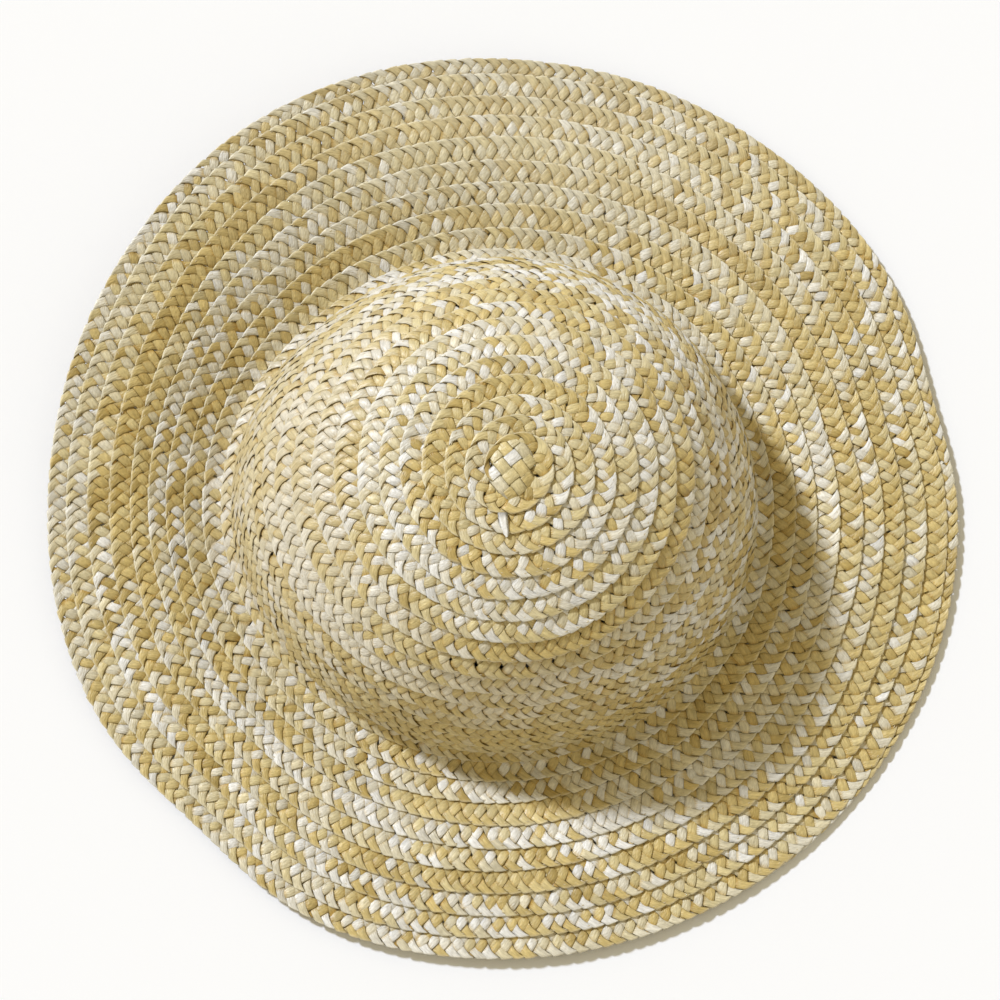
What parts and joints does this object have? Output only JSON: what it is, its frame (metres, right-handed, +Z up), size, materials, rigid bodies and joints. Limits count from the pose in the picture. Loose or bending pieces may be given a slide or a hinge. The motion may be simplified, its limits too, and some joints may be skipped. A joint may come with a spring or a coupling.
{
  "type": "straw sun hat",
  "caption": "Wide-brimmed straw sun hat with a round dome crown, sewn from one spiral of flat straw plait, with a fabric sweatband inside.",
  "frame": {"origin": "centre of the brim's footprint on the surface that the hat rests on", "axes": "+Z up along the crown's axis, from the brim to the crown's tip; +X and +Y along the brim"},
  "size_m": [0.3563, 0.3564, 0.0886],
  "materials": {
    "straw_plait": "waxy split straw, natural golden and silvery white",
    "sewing_thread": "matte",
    "sweatband_fabric": "woven cotton ribbon"
  },
  "bodies": {
    "root": {"crown_tip_start": "straw_plait", "crown_turn_01": "straw_plait", "crown_turn_02": "straw_plait", "crown_turn_03": "straw_plait", "crown_turn_04": "straw_plait", "crown_turn_05": "straw_plait", "crown_turn_06": "straw_plait", "crown_turn_07": "straw_plait", "crown_turn_08": "straw_plait", "crown_turn_09": "straw_plait", "crown_turn_10": "straw_plait", "crown_turn_11": "straw_plait", "crown_turn_12": "straw_plait", "crown_turn_13": "straw_plait", "crown_turn_14": "straw_plait", "crown_turn_15": "straw_plait", "crown_turn_16": "straw_plait", "crown_turn_17": "straw_plait", "brim_turn_01": "straw_plait", "brim_turn_02": "straw_plait", "brim_turn_03": "straw_plait", "brim_turn_04": "straw_plait", "brim_turn_05": "straw_plait", "brim_turn_06": "straw_plait", "brim_turn_07": "straw_plait", "brim_turn_08": "straw_plait", "brim_turn_09": "straw_plait", "crown_sewing_thread": "sewing_thread", "brim_sewing_thread": "sewing_thread", "sweatband": "sweatband_fabric", "sweatband_thread": "sewing_thread"}
  },
  "joints": []
}
